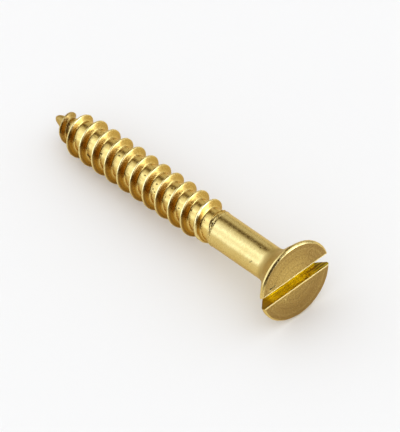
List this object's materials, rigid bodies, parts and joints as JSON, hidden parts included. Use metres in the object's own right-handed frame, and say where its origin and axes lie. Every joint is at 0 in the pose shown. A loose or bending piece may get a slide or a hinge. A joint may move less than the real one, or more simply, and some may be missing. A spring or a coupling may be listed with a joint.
{
  "type": "wood screw",
  "caption": "Slotted countersunk wood screw with a plain shank, a right-hand rolled thread and a tapered point, for fastening a thin part flush to timber.",
  "frame": {"origin": "on the screw's axis, half way between the face of the head and the end of the point", "axes": "+X along the screw's axis from the point to the head, Y along the driver slot, +Z across the slot"},
  "size_m": [0.032, 0.0078, 0.0078],
  "materials": {
    "brass": "bare turned and rolled brass, dull on the head's face and brighter on the rolled shank and thread, with fine pits and light tarnish"
  },
  "bodies": {
    "root": {"wood_screw": "brass"}
  },
  "joints": []
}
